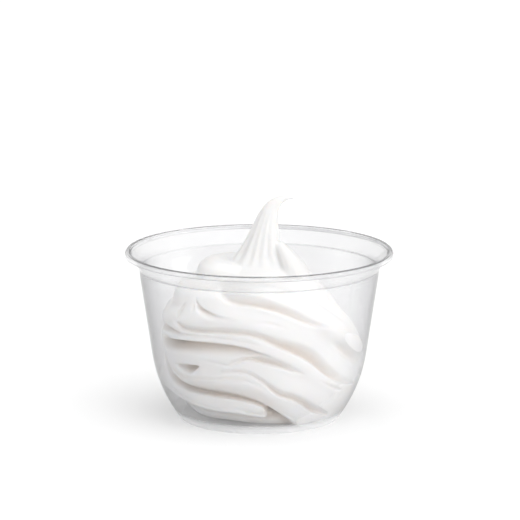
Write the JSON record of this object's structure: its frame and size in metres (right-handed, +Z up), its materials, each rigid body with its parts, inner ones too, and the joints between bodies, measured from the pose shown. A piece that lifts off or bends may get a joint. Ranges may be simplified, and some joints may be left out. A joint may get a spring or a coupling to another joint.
{
  "type": "ice cream cup",
  "caption": "Vanilla soft-serve ice cream, folded and swirled to a pulled, curled peak, in a clear plastic dessert cup with a flared neck and rolled lip.",
  "frame": {"origin": "on the surface the cup stands on, under the middle of the cup", "axes": "+Z up along the cup's axis, -Y the front, +X the side that the peak curls to"},
  "size_m": [0.098, 0.098, 0.0818],
  "materials": {
    "clear_plastic": "clear, gloss",
    "vanilla": "soft, smooth, off-white"
  },
  "bodies": {
    "root": {"cup": "clear_plastic", "ice_cream": "vanilla"}
  },
  "joints": []
}
